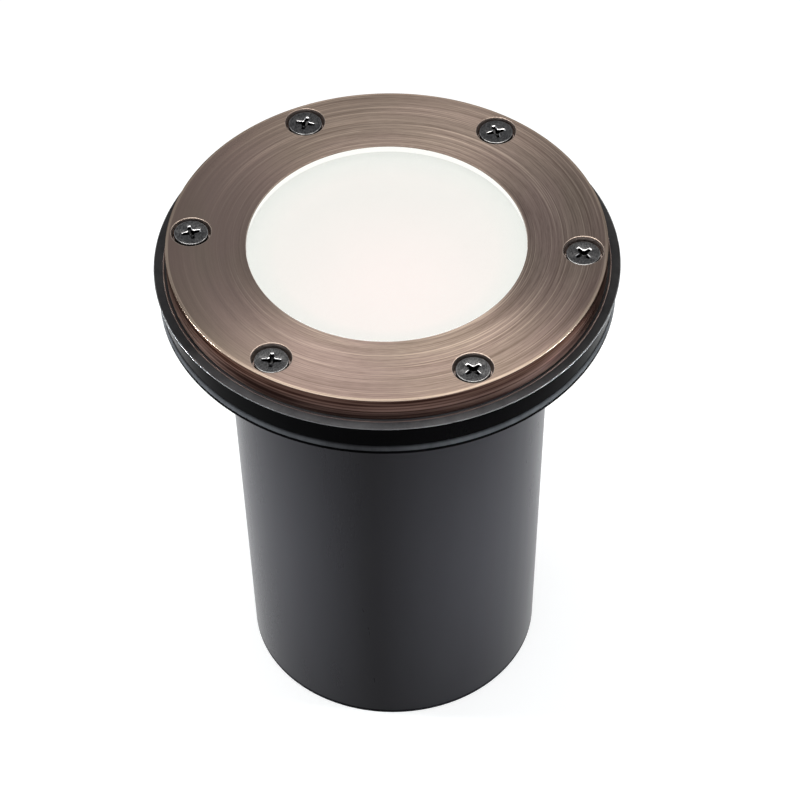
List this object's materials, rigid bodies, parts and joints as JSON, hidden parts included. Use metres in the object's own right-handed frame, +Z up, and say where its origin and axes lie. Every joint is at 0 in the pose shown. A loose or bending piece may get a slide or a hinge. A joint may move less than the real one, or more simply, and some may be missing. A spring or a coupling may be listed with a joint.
{
  "type": "in ground well light",
  "caption": "Buried garden uplight: tapered composite housing with a flange, brushed brass face ring held by screws, frosted lens, and a reflector lamp on a swivelling gimbal.",
  "frame": {"origin": "centre of the housing's foot rim, on the plane the light stands on", "axes": "+Z up, along the housing's axis; the first cover screw lies on +X and the cable gland towards +Y; seen from the front, -Y faces the viewer"},
  "size_m": [0.1332, 0.1332, 0.1585],
  "materials": {
    "composite_black": "satin black fibre-filled composite, moulded",
    "flange_black": "black composite, polished moulding",
    "aged_brass": "solid brass, circular brushed and bronzed",
    "frosted_glass": "tempered glass with a frosted underside",
    "black_steel": "stainless steel, blackened",
    "silicone": "black silicone rubber",
    "clear_silicone": "translucent silicone",
    "plain_brass": "turned brass, bright",
    "nylon_black": "moulded nylon",
    "zinc_steel": "zinc-plated sheet steel",
    "spring_steel": "bright spring wire",
    "cast_aluminium": "die-cast, satin",
    "lamp_white": "die-cast, powder-coated pale grey",
    "optic_plastic": "clear moulded optic",
    "lamp_plastic": "white moulded plastic",
    "ceramic": "unglazed ceramic",
    "nickel": "nickel-plated"
  },
  "bodies": {
    "base": {"housing": "composite_black", "flange": "flange_black", "bulkhead": "composite_black", "threaded_inserts": "plain_brass", "lens_gasket": "silicone", "gland_body": "nylon_black", "gland_washer": "silicone", "gland_locknut": "nylon_black", "gland_seal": "silicone", "gland_nut": "nylon_black", "swivel_post": "nickel", "post_screw": "zinc_steel", "swivel_screw": "zinc_steel", "swivel_washer": "spring_steel"},
    "cover": {"face_ring": "aged_brass", "lens": "frosted_glass", "lens_seal": "clear_silicone", "cover_screws": "black_steel"},
    "swivel": {"yoke": "zinc_steel", "pivot_washers": "nylon_black"},
    "lamp": {"gimbal_ring": "cast_aluminium", "pivot_pins": "spring_steel", "lamp_clip": "spring_steel", "lamp_body": "lamp_white", "lamp_optic": "optic_plastic", "lamp_base": "lamp_plastic", "lamp_pins": "nickel", "lamp_socket": "ceramic", "socket_contacts": "nickel"}
  },
  "joints": [
    {"name": "cover_lift", "type": "slide", "parent": "base", "child": "cover", "axis": [0, 0, 1], "range_m": [0, 0.06]},
    {"name": "lamp_swivel", "type": "hinge", "parent": "base", "child": "swivel", "pos_m": [0, 0, 0.0575], "axis": [0, 0, 1], "range_deg": [-170, 170]},
    {"name": "lamp_tilt", "type": "hinge", "parent": "swivel", "child": "lamp", "pos_m": [0, 0, 0.132], "axis": [1, 0, 0], "range_deg": [-25, 25]}
  ]
}
